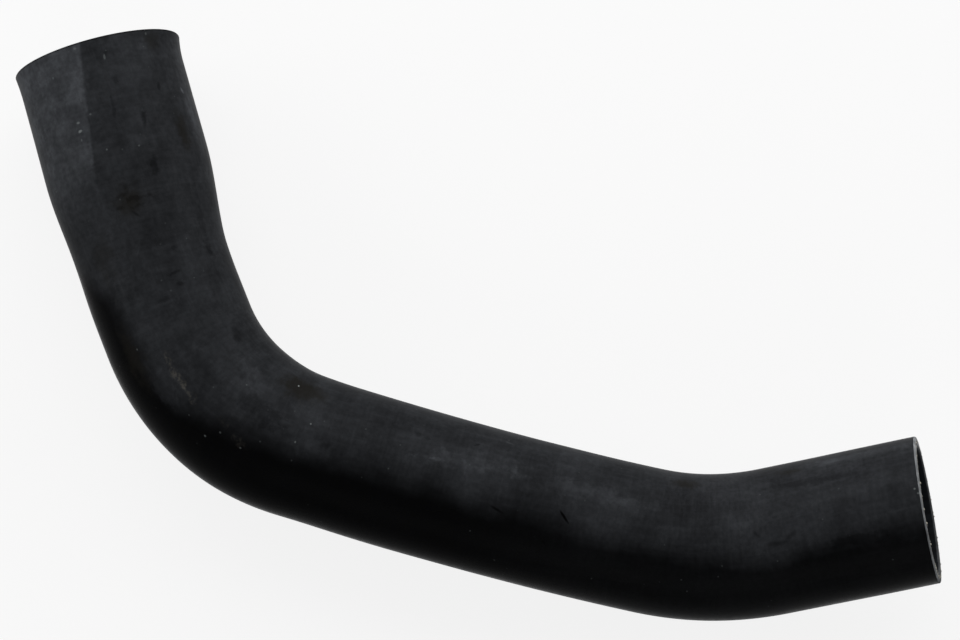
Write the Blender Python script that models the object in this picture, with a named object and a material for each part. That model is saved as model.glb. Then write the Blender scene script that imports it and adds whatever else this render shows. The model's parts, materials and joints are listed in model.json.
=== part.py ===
"""Moulded rubber turbo hose.

A wide cuff narrows through a short neck, turns through the main bend, runs on in a long shallow bow
and ends, past a second bend, in a leg that climbs out of the plane of the other bends. The wall is
turned as a straight sleeve with all its changes of section and is then bent along its centre line.
The hose lies on the ground as it comes to rest, with +Z up and the origin below its middle.
"""

import math

import bmesh
import bpy
from mathutils import Matrix, Vector
from mathutils.geometry import intersect_point_tri

# Lengths are in metres and angles in degrees.

# Sections, measured outside
CUFF_DIAMETER = 0.0772
BEND_DIAMETER = 0.0702
RUN_DIAMETER = 0.0675
WALL = 0.0050
EDGE_BREAK = 0.0005

# Changes of section, measured along the centre line
CUFF_LENGTH = 0.0535
NECK_LENGTH = 0.0505
TAPER_LENGTH = 0.0535
TAPER_PAST_BEND = 0.0175

# Centre line, from the cuff's mouth on
CUFF_HEADING = -74.1
CUFF_LEG_LENGTH = 0.0915
SET_ANGLE = 5.9
SET_RADIUS = 0.3000
SHOULDER_LENGTH = 0.0135
MAIN_BEND_ANGLE = 49.8
MAIN_BEND_RADIUS = 0.0920
RUN_LENGTH = 0.1670
RUN_BOW_ANGLE = 5.9
END_BEND_ANGLE = 23.7
END_BEND_RADIUS = 0.1420
END_LEG_LENGTH = 0.0720
END_CLIMB_ANGLE = 13.3

# The outlet is cut off a little askew, with its top raked back, and its last rings lean into the cut
# over this length
OUTLET_SKEW_ANGLE = 2.6
OUTLET_RAKE_ANGLE = 1.0
OUTLET_LEAN_LENGTH = 0.0200

# Fineness of the model
SIDES = 40
STATION_STEP = 0.0100
GUIDE_STEP = 0.0020

RUBBER_COLOUR = (0.018, 0.018, 0.020, 1.0)
RUBBER_ROUGHNESS = 0.55


def clear_scene():
    """Removes every object that the file opened with."""
    for thing in list(bpy.data.objects):
        bpy.data.objects.remove(thing, do_unlink=True)


def new_collection(name):
    """A collection linked to the scene."""
    collection = bpy.data.collections.new(name)
    bpy.context.scene.collection.children.link(collection)
    return collection


def rubber():
    """The hose's near-black rubber."""
    material = bpy.data.materials.new("moulded_rubber")
    material.use_nodes = True
    shader = material.node_tree.nodes["Principled BSDF"]
    shader.inputs["Base Color"].default_value = RUBBER_COLOUR
    shader.inputs["Roughness"].default_value = RUBBER_ROUGHNESS
    shader.inputs["Metallic"].default_value = 0.0
    return material


def arc_length(radius, angle):
    """Length of an arc, from its radius and its angle in degrees."""
    return radius * math.radians(angle)


def bend_table():
    """The hose's stretches in order, each a length with its turn to the left and its climb."""
    return [
        (CUFF_LEG_LENGTH, 0.0, 0.0),
        (arc_length(SET_RADIUS, SET_ANGLE), SET_ANGLE, 0.0),
        (SHOULDER_LENGTH, 0.0, 0.0),
        (arc_length(MAIN_BEND_RADIUS, MAIN_BEND_ANGLE), MAIN_BEND_ANGLE, 0.0),
        (RUN_LENGTH, RUN_BOW_ANGLE, 0.0),
        (arc_length(END_BEND_RADIUS, END_BEND_ANGLE), END_BEND_ANGLE, END_CLIMB_ANGLE),
        (END_LEG_LENGTH, 0.0, 0.0),
    ]


def stretch_ends():
    """How far along the centre line each stretch of the bend table begins and the last one ends."""
    ends = [0.0]
    for length, _, _ in bend_table():
        ends.append(ends[-1] + length)
    return ends


def centre_line():
    """Points along the hose's axis, which starts at the cuff's mouth and climbs only in its last bend."""
    place = Vector((0.0, 0.0, 0.0))
    points = [place]
    heading = math.radians(CUFF_HEADING)
    climb = 0.0
    for length, turn, rise in bend_table():
        count = max(1, math.ceil(length / GUIDE_STEP))
        half_turn = math.radians(turn) / count / 2
        half_rise = math.radians(rise) / count / 2
        for _ in range(count):
            heading += half_turn
            climb += half_rise
            level = math.cos(climb)
            direction = Vector((level * math.cos(heading), level * math.sin(heading), math.sin(climb)))
            place = place + direction * (length / count)
            points.append(place)
            heading += half_turn
            climb += half_rise
    return points


def ease(along, start, length):
    """Share of a change of section done at a point along the hose, smooth at both its ends."""
    share = min(max((along - start) / length, 0.0), 1.0)
    return share * share * (3.0 - 2.0 * share)


def taper_start():
    """Where the main bend's section begins to narrow to the run's."""
    main_bend_end = stretch_ends()[4]
    return main_bend_end + TAPER_PAST_BEND - TAPER_LENGTH


def outside_radius(along):
    """Radius of the outer skin at a point along the hose."""
    neck = ease(along, CUFF_LENGTH, NECK_LENGTH)
    taper = ease(along, taper_start(), TAPER_LENGTH)
    diameter = CUFF_DIAMETER
    diameter += (BEND_DIAMETER - CUFF_DIAMETER) * neck
    diameter += (RUN_DIAMETER - BEND_DIAMETER) * taper
    return diameter / 2


def is_plain(start, end):
    """True where the hose runs straight with an even section, so that it needs no ring in between."""
    middle = (start + end) / 2
    even = max(abs(outside_radius(place) - outside_radius(start)) for place in (middle, end)) < 1e-6
    ends = stretch_ends()
    for index, (_, turn, rise) in enumerate(bend_table()):
        if ends[index] < middle < ends[index + 1]:
            return even and turn == 0.0 and rise == 0.0
    return False


def stations():
    """How far along the hose its rings lie: at every change, and between them where it bends or tapers."""
    length = stretch_ends()[-1]
    marks = {
        *stretch_ends(),
        CUFF_LENGTH,
        CUFF_LENGTH + NECK_LENGTH,
        taper_start(),
        taper_start() + TAPER_LENGTH,
        length - OUTLET_LEAN_LENGTH,
    }
    marks = sorted(mark for mark in marks if 0.0 <= mark <= length)
    rings = []
    for start, end in zip(marks, marks[1:]):
        count = 1 if is_plain(start, end) else math.ceil((end - start) / STATION_STEP)
        rings += [start + (end - start) * step / count for step in range(count)]
    return rings + [length]


def wall_profile():
    """Closed outline of the wall, as radius and distance along, with its four edges broken."""
    length = stretch_ends()[-1]
    rings = stations()[1:-1]
    outer_skin = [(outside_radius(along), along) for along in rings]
    bore = [(radius - WALL, along) for radius, along in reversed(outer_skin)]
    cuff = outside_radius(0.0)
    outlet = outside_radius(length)
    return [
        (cuff - EDGE_BREAK, 0.0),
        (cuff, EDGE_BREAK),
        *outer_skin,
        (outlet, length - EDGE_BREAK),
        (outlet - EDGE_BREAK, length),
        (outlet - WALL + EDGE_BREAK, length),
        (outlet - WALL, length - EDGE_BREAK),
        *bore,
        (cuff - WALL, EDGE_BREAK),
        (cuff - WALL + EDGE_BREAK, 0.0),
    ]


def lean_into_cut(sleeve):
    """Moves the straight sleeve's last rings so that the outlet's face stands askew."""
    start = stretch_ends()[-1] - OUTLET_LEAN_LENGTH
    skew = math.tan(math.radians(OUTLET_SKEW_ANGLE))
    rake = math.tan(math.radians(OUTLET_RAKE_ANGLE))
    for corner in sleeve.verts:
        share = max((corner.co.z - start) / OUTLET_LEAN_LENGTH, 0.0)
        corner.co.z += share * (skew * corner.co.x - rake * corner.co.y)


def straight_sleeve():
    """Mesh of the hose before it is bent: the wall's outline spun round the Z axis."""
    sleeve = bmesh.new()
    corners = [sleeve.verts.new((radius, 0.0, along)) for radius, along in wall_profile()]
    edges = [sleeve.edges.new(pair) for pair in zip(corners, corners[1:] + corners[:1])]
    bmesh.ops.spin(
        sleeve,
        geom=corners + edges,
        cent=(0.0, 0.0, 0.0),
        axis=(0.0, 0.0, 1.0),
        angle=math.tau,
        steps=SIDES,
        use_merge=True,
    )
    bmesh.ops.recalc_face_normals(sleeve, faces=sleeve.faces)
    lean_into_cut(sleeve)
    mesh = bpy.data.meshes.new("hose")
    sleeve.to_mesh(mesh)
    sleeve.free()
    mesh.shade_smooth()
    mesh.set_sharp_from_angle(angle=math.radians(30))
    return mesh


def add_centre_line(guides, rest):
    """The curve that the hose is bent along, as a hidden guide."""
    data = bpy.data.curves.new("centre_line", "CURVE")
    data.dimensions = "3D"
    data.twist_mode = "Z_UP"
    spline = data.splines.new("POLY")
    points = centre_line()
    spline.points.add(len(points) - 1)
    for point, place in zip(spline.points, points):
        point.co = (*place, 1.0)
    guide = bpy.data.objects.new("centre_line", data)
    guide.hide_render = True
    guide.display_type = "WIRE"
    guide.parent = rest
    guides.objects.link(guide)
    return guide


def add_hose(parts, rest, guide):
    """The hose: the straight sleeve bent along its centre line."""
    hose = bpy.data.objects.new("hose", straight_sleeve())
    hose.data.materials.append(rubber())
    hose.parent = rest
    parts.objects.link(hose)
    bending = hose.modifiers.new("bent_along_centre_line", "CURVE")
    bending.object = guide
    bending.deform_axis = "POS_Z"
    return hose


def bent_mesh(hose):
    """Copy of the hose's mesh as its modifier leaves it."""
    bpy.context.view_layer.update()
    bent = bmesh.new()
    bent.from_object(hose, bpy.context.evaluated_depsgraph_get())
    bmesh.ops.triangulate(bent, faces=bent.faces)
    return bent


def centre_of_mass(bent):
    """Centre of mass of a closed triangle mesh."""
    total = 0.0
    moment = Vector((0.0, 0.0, 0.0))
    for face in bent.faces:
        first, second, third = (corner.co for corner in face.verts)
        volume = first.dot(second.cross(third))
        total += volume
        moment += volume * (first + second + third) / 4
    return moment / total


def resting_turn(bent):
    """Turn that lays the hose on the face of its hull that its weight bears on, nearest to face down."""
    centre = centre_of_mass(bent)
    hull = bmesh.new()
    for corner in bent.verts:
        hull.verts.new(corner.co)
    bmesh.ops.convex_hull(hull, input=hull.verts)
    hull.normal_update()
    bearing = []
    for face in hull.faces:
        under_weight = intersect_point_tri(centre, *(corner.co for corner in face.verts))
        if under_weight is not None and face.normal.dot(under_weight - centre) > 0.0:
            bearing.append(face.normal.copy())
    hull.free()
    down = Vector((0.0, 0.0, -1.0))
    footing = max(bearing, key=down.dot)
    return footing.rotation_difference(down).to_matrix().to_4x4()


def lay_down(rest, hose):
    """Turns the hose to its rest and sets it on the ground, centred over the origin."""
    bent = bent_mesh(hose)
    turn = resting_turn(bent)
    corners = [turn @ corner.co for corner in bent.verts]
    bent.free()
    low = Vector(min(corner[axis] for corner in corners) for axis in range(3))
    high = Vector(max(corner[axis] for corner in corners) for axis in range(3))
    middle = (low + high) / 2
    rest.matrix_world = Matrix.Translation((-middle.x, -middle.y, -low.z)) @ turn


def main():
    """Builds the hose and lays it down."""
    clear_scene()
    parts = new_collection("turbo_hose")
    guides = new_collection("guides")
    rest = bpy.data.objects.new("hose_rest", None)
    guides.objects.link(rest)
    guide = add_centre_line(guides, rest)
    hose = add_hose(parts, rest, guide)
    lay_down(rest, hose)


main()
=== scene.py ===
"""Turbo hose dressed for its picture.

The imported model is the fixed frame. Round it this file makes the hose's fine wall, the ends of the
reinforcing threads that show in its two cut faces, its rubber finishes and a plain studio.
Lengths are in metres, but for the marks', and angles in degrees. A place on the hose is told as on the
straight sleeve that it was bent from: how far along it lies, and its angle round from the inside of the
bends, with 90 degrees on top.
"""

import json
import logging
import math
import random
from collections.abc import Callable
from dataclasses import dataclass
from enum import Enum
from typing import NamedTuple

import bmesh
import bpy
import numpy
from mathutils import Euler, Matrix, Vector


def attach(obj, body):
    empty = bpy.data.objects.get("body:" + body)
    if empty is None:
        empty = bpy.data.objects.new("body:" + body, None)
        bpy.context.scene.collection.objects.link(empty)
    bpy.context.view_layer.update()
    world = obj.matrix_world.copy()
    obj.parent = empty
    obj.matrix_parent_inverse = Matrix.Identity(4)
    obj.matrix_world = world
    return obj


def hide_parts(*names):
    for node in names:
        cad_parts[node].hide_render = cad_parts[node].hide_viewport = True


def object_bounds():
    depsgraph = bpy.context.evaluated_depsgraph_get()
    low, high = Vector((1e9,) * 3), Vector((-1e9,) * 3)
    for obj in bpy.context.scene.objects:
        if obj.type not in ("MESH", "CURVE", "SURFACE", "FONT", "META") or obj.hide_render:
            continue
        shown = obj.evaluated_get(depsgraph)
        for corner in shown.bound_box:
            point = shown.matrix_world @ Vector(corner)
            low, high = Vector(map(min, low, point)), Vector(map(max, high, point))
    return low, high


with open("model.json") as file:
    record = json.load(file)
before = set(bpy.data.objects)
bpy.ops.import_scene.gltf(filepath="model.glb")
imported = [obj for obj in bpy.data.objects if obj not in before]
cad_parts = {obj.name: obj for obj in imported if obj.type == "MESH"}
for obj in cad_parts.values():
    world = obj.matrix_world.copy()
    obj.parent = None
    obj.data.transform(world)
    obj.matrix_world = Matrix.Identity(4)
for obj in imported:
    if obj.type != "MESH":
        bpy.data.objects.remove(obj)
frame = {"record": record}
CAD_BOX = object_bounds()

BODY = "root"
CAD_NODE = "hose"
PLACE_ATTRIBUTE = "sleeve_place"
TONE_ATTRIBUTE = "thread_tone"
SMOOTH_BELOW = 40.0
MILLIMETRE = 0.001
ORIGIN = (0.0, 0.0, 0.0)

Colour = tuple[float, float, float, float]
Material = bpy.types.Material
Piece = bpy.types.Object
Socket = bpy.types.NodeSocket
Tree = bpy.types.NodeTree
Value = float | tuple | Vector | Socket
log = logging.getLogger("turbo_hose")


class End(Enum):
    """The hose's two cut ends."""

    CUFF = "cuff_end"
    OUTLET = "outlet_end"


class Stain(Enum):
    """What a mark has done to the rubber."""

    BLOOM = "pale bloom"
    BROWN = "brown tinge"
    SMUDGE = "dark smudge"
    NICK = "fine nick"
    SCUFF = "tan scuff"
    FLECK = "white fleck"
    RIDGED = "bloom on the ridges"


class Mark(NamedTuple):
    """One oval mark on the outer skin: its middle, its size and how it fades out, lengths in millimetres."""

    along: float
    angle: float
    length: float
    width: float
    turn: float
    strength: float
    softness: float
    raggedness: float


# Every handling mark, its numbers in the order in which Mark names them
HANDLING_MARKS = {
    # Cloudy bloom: the cuff's inner edge, the neck, the main bend, the run and the end leg; the long bands
    # along the cuff's inner edge and along the end leg are partly bloom and partly painted highlight
    Stain.BLOOM: (
        # The first mark, the long band along the cuff's inner edge, is partly painted highlight
        (36, 20, 80, 12, 0, 0.17, 0.8, 0.3), (29.8, 25.5, 4.4, 2, -30, 0.45, 0.6, 0.3),
        (118, 118, 22, 14, 0, 0.09, 0.9, 0.6), (100, 95.4, 6, 1.2, 30, 0.11, 0.8, 0.4),
        (105, 60, 50, 10, 6, 0.05, 0.9, 0.5), (158, 119, 20, 16, 0, 0.06, 0.4, 0.5),
        (174, 60, 30, 10, 4, 0.075, 0.8, 0.6), (184, 68, 26, 16, 20, 0.07, 0.8, 0.6),
        (219, 68, 30, 10, 6, 0.07, 0.8, 0.6), (225, 93, 26, 12, -4, 0.06, 0.8, 0.8),
        (292, 68, 56, 12, -8, 0.13, 0.8, 0.7), (267.5, 74.4, 5, 2.2, 8, 0.17, 0.8, 1),
        (279.5, 72.3, 7, 1.8, -6, 0.25, 0.8, 1), (291.4, 67.3, 4, 2.6, 0, 0.19, 0.8, 1),
        (309.3, 36.6, 5, 1.8, 10, 0.2, 0.8, 0.8), (350, 66, 70, 14, 0, 0.11, 0.8, 0.6),
        # The first mark, the long band along the end leg, is partly painted highlight
        (488, 27, 66, 10, 0, 0.17, 0.7, 0.3), (480, 64, 64, 10, -3, 0.06, 0.8, 0.3),
        (428, 72, 44, 12, 0, 0.06, 0.8, 0.4), (445, 99, 50, 1.4, 0, 0.04, 0.8, 0.5),
    ),
    # Dull brown patches
    Stain.BROWN: (
        (77, 91, 20, 22, 10, 0.75, 1, 0.35), (50, 38, 26, 10, 0, 0.7, 0.8, 0.5),
        (6, 44, 14, 12, 0, 0.45, 0.8, 0.5), (142, 131, 36, 15, 0, 0.5, 0.9, 0.4),
        (98, 124, 26, 16, 0, 0.35, 0.8, 0.5), (208.5, 47.5, 38, 19, -4, 0.75, 0.7, 0.3),
        (397, 36, 26, 10, 0, 0.6, 0.8, 0.4), (457, 30, 18, 7, 0, 0.5, 0.8, 0.4),
    ),
    # Dark smudges and rubbed places: the cuff, the neck, the main bend, the run and the end leg
    Stain.SMUDGE: (
        (16, 91, 42, 8.5, 11, 0.144, 0.6, 0.6), (8, 80, 6, 2.6, 12, 0.33, 0.7, 0.6),
        (21.9, 77.6, 4.2, 3, 0, 0.42, 0.7, 0.6), (27.8, 48.7, 6.2, 2.6, 10, 0.39, 0.7, 0.6),
        (35, 85, 18, 1.8, 6, 0.33, 0.7, 0.9), (40.8, 66.3, 11, 4.2, 4, 0.54, 0.7, 0.7),
        (63.7, 68, 13, 4.2, 4, 0.45, 0.7, 0.7), (50, 84, 14, 9, 0, 0.18, 0.9, 0.8),
        (70, 89, 3, 11, 5, 0.24, 0.9, 0.9), (73.5, 93, 2.6, 14, -5, 0.27, 0.9, 0.9),
        (76.5, 87, 3.6, 17, 4, 0.36, 0.9, 0.9), (80, 83, 2.2, 13, -3, 0.33, 0.9, 0.9),
        (79, 101, 2, 8, 0, 0.27, 0.9, 0.9), (83.5, 89.4, 6.5, 1.6, -45, 0.45, 0.6, 0.4),
        (95, 82, 16, 13, 0, 0.192, 0.9, 0.8), (103.1, 69.6, 2.8, 7, 4, 0.24, 0.9, 0.8),
        (104.5, 87, 12, 10, 0, 0.168, 0.9, 0.8), (111, 98, 3.6, 16, 6, 0.3, 0.9, 0.9),
        (114.7, 75, 2.6, 8, -8, 0.45, 0.7, 0.7), (120.5, 73.4, 2.8, 5.8, 0, 0.48, 0.7, 0.6),
        (125, 90.5, 3, 12, 5, 0.27, 0.9, 0.9), (130, 90, 7, 15, 0, 0.228, 0.9, 0.9),
        (97, 38.8, 36, 5.5, -1, 0.33, 0.8, 0.6), (119, 43, 34, 10, 6, 0.27, 0.9, 0.7),
        (136, 53, 12, 7, 0, 0.27, 0.9, 0.8), (156.5, 48.5, 16, 7.5, 10, 0.45, 0.7, 0.3),
        (160, 84, 30, 12, 8, 0.24, 0.8, 0.8), (158, 100.5, 24, 6, 4, 0.27, 0.8, 0.7),
        (196, 82, 34, 12, 8, 0.33, 0.7, 0.8), (267.5, 55, 4.5, 3, 0, 0.33, 0.8, 0.8),
        (273.5, 57.5, 5, 2.8, 0, 0.36, 0.8, 0.8), (295.4, 49.3, 4.2, 1.2, -35, 0.39, 0.7, 0.5),
        (343.1, 58.9, 6.5, 1.3, -20, 0.24, 0.8, 0.6), (359, 48.7, 6.5, 3, 0, 0.21, 0.9, 0.6),
        (437.5, 84.3, 8, 3, 50, 0.38, 0.9, 0.4), (445.5, 92.6, 13, 3.6, 4, 0.42, 0.9, 0.4),
        (453, 89.3, 9, 3, -29, 0.38, 0.9, 0.4), (482, 103.5, 36, 8.5, 2, 0.48, 0.7, 0.6),
        (472, 48.5, 84, 8, 2, 0.3, 0.8, 0.4),
    ),
    # Fine nicks on the run
    Stain.NICK: (
        (286.5, 111.2, 8.6, 1.5, -28, 0.8, 0.8, 0.3), (292.5, 106.4, 8, 1.3, -22, 0.8, 0.8, 0.3),
        (311.3, 97.5, 9.2, 1.7, 16, 0.75, 0.7, 0.2), (335.2, 112.4, 6.2, 1.4, 44, 0.7, 0.8, 0.3),
        (342, 90.6, 9.4, 1.6, 43, 1, 0.6, 0.2),
    ),
    # The tan scuff that runs on down the outside of the main bend
    Stain.SCUFF: (
        (150, 104.9, 12, 4.2, 3, 0.35, 0.8, 0.7), (158, 106, 13, 5.4, 4, 0.4, 0.8, 0.7),
        (156, 103.6, 10, 2.2, 6, 0.23, 0.8, 0.7), (166.5, 107, 13, 4.2, 8, 0.29, 0.8, 0.7),
        (185, 105.5, 8, 3.8, 20, 0.1, 0.9, 0.7), (194, 109.2, 14, 4.8, 14, 0.13, 0.9, 0.7),
    ),
    # Paint specks
    Stain.FLECK: (
        (9.9, 81.5, 3.4, 1.3, 4, 0.13, 0.7, 0.3), (25.9, 104.8, 3, 1.2, 0, 0.08, 0.8, 0.5),
        (35.8, 111, 1.4, 2.2, 0, 0.2, 0.7, 0.4), (39.8, 111.3, 1.6, 2.6, -20, 0.3, 0.7, 0.4),
        (43.8, 111.8, 2, 1.2, 0, 0.12, 0.7, 0.4), (33.8, 100.9, 1.4, 1.4, 0, 0.13, 0.7, 0.3),
        (51.7, 96.5, 1.3, 1.3, 0, 0.13, 0.7, 0.2), (53.7, 75, 1.2, 1.3, 0, 0.12, 0.7, 0.2),
        (11.9, 120.8, 1.8, 1.4, 0, 0.08, 0.7, 0.2), (2.2, 48.3, 1.8, 1.4, 0, 0.1, 0.7, 0.2),
        (2.4, 99.5, 1.6, 2, 0, 0.1, 0.7, 0.2), (139.9, 124.1, 1.1, 1.1, 0, 0.12, 0.7, 0.2),
        (181.9, 71.6, 1.2, 1.1, 0, 0.12, 0.7, 0.1), (181.9, 122.2, 1.3, 1.2, 0, 0.2, 0.7, 0.1),
        (185.9, 112.3, 1.3, 1.2, 0, 0.1, 0.7, 0.1), (195.9, 113.7, 1.2, 1.2, 0, 0.12, 0.7, 0.1),
        (205.9, 46.3, 1.4, 1.3, 0, 0.62, 0.7, 0.1), (215.9, 92.2, 1.1, 1.4, 0, 0.2, 0.7, 0.1),
        (219.8, 74.8, 1.2, 1.2, 0, 0.26, 0.7, 0.1), (511, 73, 1.4, 1.3, 0, 0.2, 0.7, 0.1),
        (512.2, 77, 1.4, 1.3, 0, 0.2, 0.7, 0.1),
    ),
    # Where the bloom lies on the tape's ridges like a ladder
    Stain.RIDGED: (
        (40, 112, 46, 17, 0, 0.017, 0.8, 0.5), (96, 112, 60, 30, 0, 0.009, 0.9, 0.5),
        (22, 128, 30, 20, 0, 0.008, 0.9, 0.5),
    ),
}


@dataclass(frozen=True)
class Stretch:
    """One stretch of the centre line, with its turn to the left and its climb."""

    length: float
    turn: float = 0.0
    climb: float = 0.0


@dataclass(frozen=True)
class CentreLine:
    """The hose's axis, as the bends that it was formed to, from the cuff's mouth on."""

    cuff_heading: float = -74.1
    cuff_leg_length: float = 0.0915
    set_angle: float = 5.9
    set_radius: float = 0.3000
    shoulder_length: float = 0.0135
    main_bend_angle: float = 49.8
    main_bend_radius: float = 0.0920
    run_length: float = 0.1670
    run_bow_angle: float = 5.9
    end_bend_angle: float = 23.7
    end_bend_radius: float = 0.1420
    end_leg_length: float = 0.0720
    end_climb_angle: float = 13.3
    point_step: float = 0.0020

    def stretches(self) -> list[Stretch]:
        """The stretches of the centre line.

        Returns:
            The stretches, in order from the cuff's mouth.
        """
        end_bend = self._arc(self.end_bend_radius, self.end_bend_angle)
        return [
            Stretch(self.cuff_leg_length),
            Stretch(self._arc(self.set_radius, self.set_angle), self.set_angle),
            Stretch(self.shoulder_length),
            Stretch(self._arc(self.main_bend_radius, self.main_bend_angle), self.main_bend_angle),
            Stretch(self.run_length, self.run_bow_angle),
            Stretch(end_bend, self.end_bend_angle, self.end_climb_angle),
            Stretch(self.end_leg_length),
        ]

    def _arc(self, radius: float, angle: float) -> float:
        """Length of a bend."""
        return radius * math.radians(angle)

    def length(self) -> float:
        """Length of the whole axis."""
        return sum(stretch.length for stretch in self.stretches())

    def main_bend_end(self) -> float:
        """How far along the axis the main bend ends."""
        return sum(stretch.length for stretch in self.stretches()[:4])

    def direction(self, heading: float, climb: float) -> Vector:
        """Unit vector of a heading and a climb.

        Args:
            heading: degrees to the left of +X.
            climb: degrees above level.

        Returns:
            The direction, in the hose's own frame.
        """
        level = math.cos(math.radians(climb))
        across = math.radians(heading)
        return Vector((level * math.cos(across), level * math.sin(across), math.sin(math.radians(climb))))

    def end_direction(self) -> Vector:
        """Direction of travel out of the outlet."""
        heading = self.cuff_heading + sum(stretch.turn for stretch in self.stretches())
        return self.direction(heading, sum(stretch.climb for stretch in self.stretches()))

    def points(self) -> list[Vector]:
        """Points along the axis, a short step apart.

        Returns:
            The points, from the cuff's mouth on.
        """
        place = Vector(ORIGIN)
        places = [place]
        heading, climb = self.cuff_heading, 0.0
        for stretch in self.stretches():
            count = max(1, math.ceil(stretch.length / self.point_step))
            for step in range(count):
                done = (step + 0.5) / count
                way = self.direction(heading + stretch.turn * done, climb + stretch.climb * done)
                place = place + way * (stretch.length / count)
                places.append(place)
            heading += stretch.turn
            climb += stretch.climb
        return places

    def guide(self) -> Piece:
        """A curve along the axis, for straight pieces to be bent along.

        Returns:
            The curve's object.
        """
        data = bpy.data.curves.new("centre_line", "CURVE")
        data.dimensions = "3D"
        data.twist_mode = "Z_UP"
        spline = data.splines.new("POLY")
        places = self.points()
        spline.points.add(len(places) - 1)
        for point, place in zip(spline.points, places):
            point.co = (*place, 1.0)
        guide = bpy.data.objects.new("centre_line", data)
        bpy.context.scene.collection.objects.link(guide)
        return guide


@dataclass(frozen=True)
class Section:
    """The hose's round section at every place along it."""

    cuff_diameter: float = 0.0772
    bend_diameter: float = 0.0702
    run_diameter: float = 0.0675
    wall: float = 0.0050
    cuff_length: float = 0.0535
    neck_length: float = 0.0505
    taper_length: float = 0.0535
    taper_past_bend: float = 0.0175
    outlet_skew_angle: float = 2.6
    outlet_rake_angle: float = 1.0
    outlet_lean_length: float = 0.0200
    lip_length: float = 0.0120
    lip_spread: float = 0.027
    lip_middle: float = -0.0125

    def taper_start(self, line: CentreLine) -> float:
        """Where the bend's section begins to narrow to the run's."""
        return line.main_bend_end() + self.taper_past_bend - self.taper_length

    def radius(self, along: float, line: CentreLine) -> float:
        """Radius of the outer skin.

        Args:
            along: distance from the cuff's mouth.
            line: the axis that the hose follows.

        Returns:
            The radius at that place.
        """
        neck = ease((along - self.cuff_length) / self.neck_length)
        taper = ease((along - self.taper_start(line)) / self.taper_length)
        diameter = self.cuff_diameter
        diameter += (self.bend_diameter - self.cuff_diameter) * neck
        diameter += (self.run_diameter - self.bend_diameter) * taper
        return diameter / 2

    def lip_share(self, along: float) -> float:
        """Share that the cuff's lip is spread sideways about its middle, at a place along the hose."""
        return self.lip_spread * max(0.0, 1.0 - along / self.lip_length) ** 2

    def outlet_slopes(self) -> tuple[float, float]:
        """How far the outlet's face runs forward towards the inside of the bends, and back at its top."""
        return math.tan(math.radians(self.outlet_skew_angle)), math.tan(math.radians(self.outlet_rake_angle))


def ease(share: float) -> float:
    """Smooth step from 0 to 1."""
    share = min(max(share, 0.0), 1.0)
    return share * share * (3.0 - 2.0 * share)


def take(piece: Piece) -> None:
    """Leaves one object selected and active.

    Args:
        piece: the object.
    """
    bpy.ops.object.select_all(action="DESELECT")
    piece.select_set(True)
    bpy.context.view_layer.objects.active = piece


def apply_modifier(piece: Piece, kind: str, **settings: object) -> None:
    """Adds a modifier to a piece and applies it.

    Args:
        piece: the mesh object to change.
        kind: the modifier's type.
        settings: the modifier's properties by name.
    """
    take(piece)
    modifier = piece.modifiers.new(kind.lower(), kind)
    for name, value in settings.items():
        setattr(modifier, name, value)
    bpy.ops.object.modifier_apply(modifier=modifier.name)


def pick(piece: Piece, kind: str, wanted: Callable) -> None:
    """Selects what lies right on a piece in edit mode, and nothing else.

    Args:
        piece: the object in edit mode.
        kind: VERT, EDGE or FACE.
        wanted: says of one vertex, edge or face whether it is picked.
    """
    bpy.ops.mesh.select_mode(type=kind)
    bpy.ops.mesh.select_all(action="DESELECT")
    shape = bmesh.from_edit_mesh(piece.data)
    for element in {"VERT": shape.verts, "EDGE": shape.edges, "FACE": shape.faces}[kind]:
        element.select = wanted(element)
    shape.select_flush_mode()
    bmesh.update_edit_mesh(piece.data)


def tell_places(piece: Piece) -> None:
    """Writes each vertex's place on the straight sleeve, for the finishes to read once it is bent.

    Args:
        piece: the straight piece, which stands on the origin along +Z.
    """
    places = numpy.zeros(len(piece.data.vertices) * 3, numpy.float32)
    piece.data.vertices.foreach_get("co", places)
    attribute = piece.data.attributes.new(PLACE_ATTRIBUTE, "FLOAT_VECTOR", "POINT")
    attribute.data.foreach_set("vector", places)


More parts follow.
